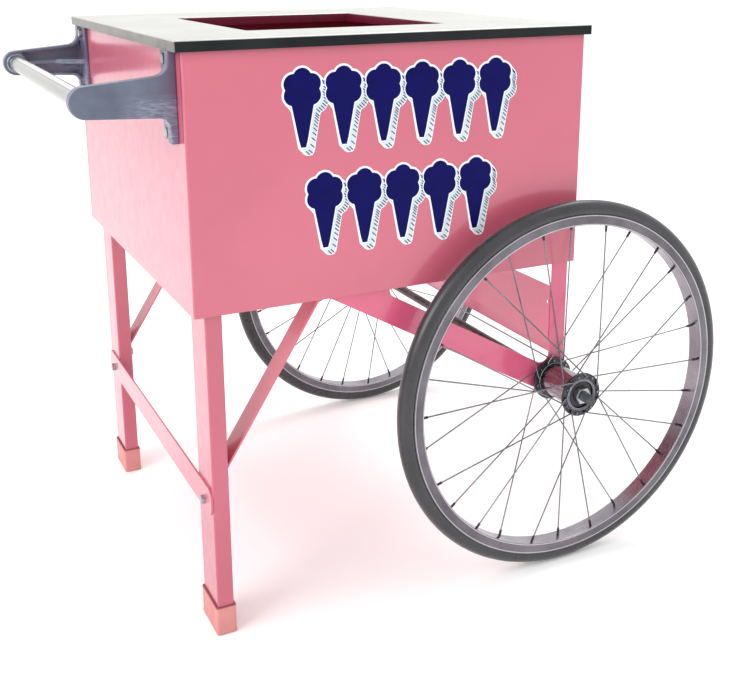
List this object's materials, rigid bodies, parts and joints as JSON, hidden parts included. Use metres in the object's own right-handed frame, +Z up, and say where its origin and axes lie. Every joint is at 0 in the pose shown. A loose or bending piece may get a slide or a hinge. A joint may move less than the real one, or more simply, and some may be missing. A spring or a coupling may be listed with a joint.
{
  "type": "cotton candy cart",
  "caption": "Wheeled vending cart with a closed sheet-metal body, a stainless top with a machine well, spoked side wheels, tube legs and a push handle.",
  "frame": {"origin": "on the floor, at the middle of the cart's bounding box", "axes": "+X towards the wheel end, -X towards the handle, -Y the front with the decal, +Z up; the axle is along Y"},
  "size_m": [1.04, 0.866, 0.873],
  "materials": {
    "countertop_steel": "finely brushed stainless sheet",
    "countertop_board": "plain board under the stainless sheet",
    "body_paint": "smooth semi-gloss pink powder coat",
    "bracket_paint": "smooth semi-gloss deep pink powder coat",
    "zinc_fasteners": "zinc-plated fasteners",
    "foot_rubber": "matt salmon moulded rubber",
    "axle_steel": "dark oiled steel",
    "tyre_rubber": "dark grey solid rubber, smooth tread",
    "rim_aluminium": "satin aluminium with polished lips",
    "spoke_steel": "drawn stainless wire",
    "nipple_metal": "dark nickel-plated brass",
    "hub_metal": "polished barrel, darker flanges",
    "handle_cast_paint": "slate blue-grey paint over a casting",
    "handle_tube_metal": "polished tube",
    "decal_print": "thin printed vinyl"
  },
  "bodies": {
    "cart": {"countertop": "countertop_steel", "countertop_core": "countertop_board", "front_panel": "body_paint", "rear_panel": "body_paint", "handle_end_panel": "body_paint", "wheel_end_panel": "body_paint", "corner_angles": "body_paint", "floor_pan": "body_paint", "leg_front": "body_paint", "leg_rear": "body_paint", "leg_bolts": "zinc_fasteners", "leg_weld_nuts": "zinc_fasteners", "foot_cap_front": "foot_rubber", "foot_cap_rear": "foot_rubber", "leg_cross_bar": "body_paint", "cross_bar_bolts": "zinc_fasteners", "cross_bar_nuts": "zinc_fasteners", "brace_front": "body_paint", "brace_rear": "body_paint", "brace_bolts": "zinc_fasteners", "brace_nuts": "zinc_fasteners", "axle_bracket_front": "bracket_paint", "axle_bracket_rear": "bracket_paint", "bracket_bolts": "zinc_fasteners", "bracket_nuts": "zinc_fasteners", "axle_cross_panel": "bracket_paint", "axle": "axle_steel", "axle_spacers": "zinc_fasteners", "axle_nuts": "zinc_fasteners", "handle_bracket_front": "handle_cast_paint", "handle_bracket_rear": "handle_cast_paint", "handle_bolts": "zinc_fasteners", "handle_nuts": "zinc_fasteners", "handle_set_screws": "axle_steel", "handle_tube": "handle_tube_metal", "side_decal": "decal_print"},
    "wheel_front": {"front_tyre": "tyre_rubber", "front_rim": "rim_aluminium", "front_spokes": "spoke_steel", "front_nipples": "nipple_metal", "front_hub": "hub_metal", "front_bearings": "axle_steel"},
    "wheel_rear": {"rear_tyre": "tyre_rubber", "rear_rim": "rim_aluminium", "rear_spokes": "spoke_steel", "rear_nipples": "nipple_metal", "rear_hub": "hub_metal", "rear_bearings": "axle_steel"}
  },
  "joints": [
    {"name": "wheel_front_spin", "type": "hinge", "parent": "cart", "child": "wheel_front", "pos_m": [0.215, -0.367, 0.305], "axis": [0, 1, 0], "continuous": true},
    {"name": "wheel_rear_spin", "type": "hinge", "parent": "cart", "child": "wheel_rear", "pos_m": [0.215, 0.367, 0.305], "axis": [0, 1, 0], "continuous": true}
  ]
}
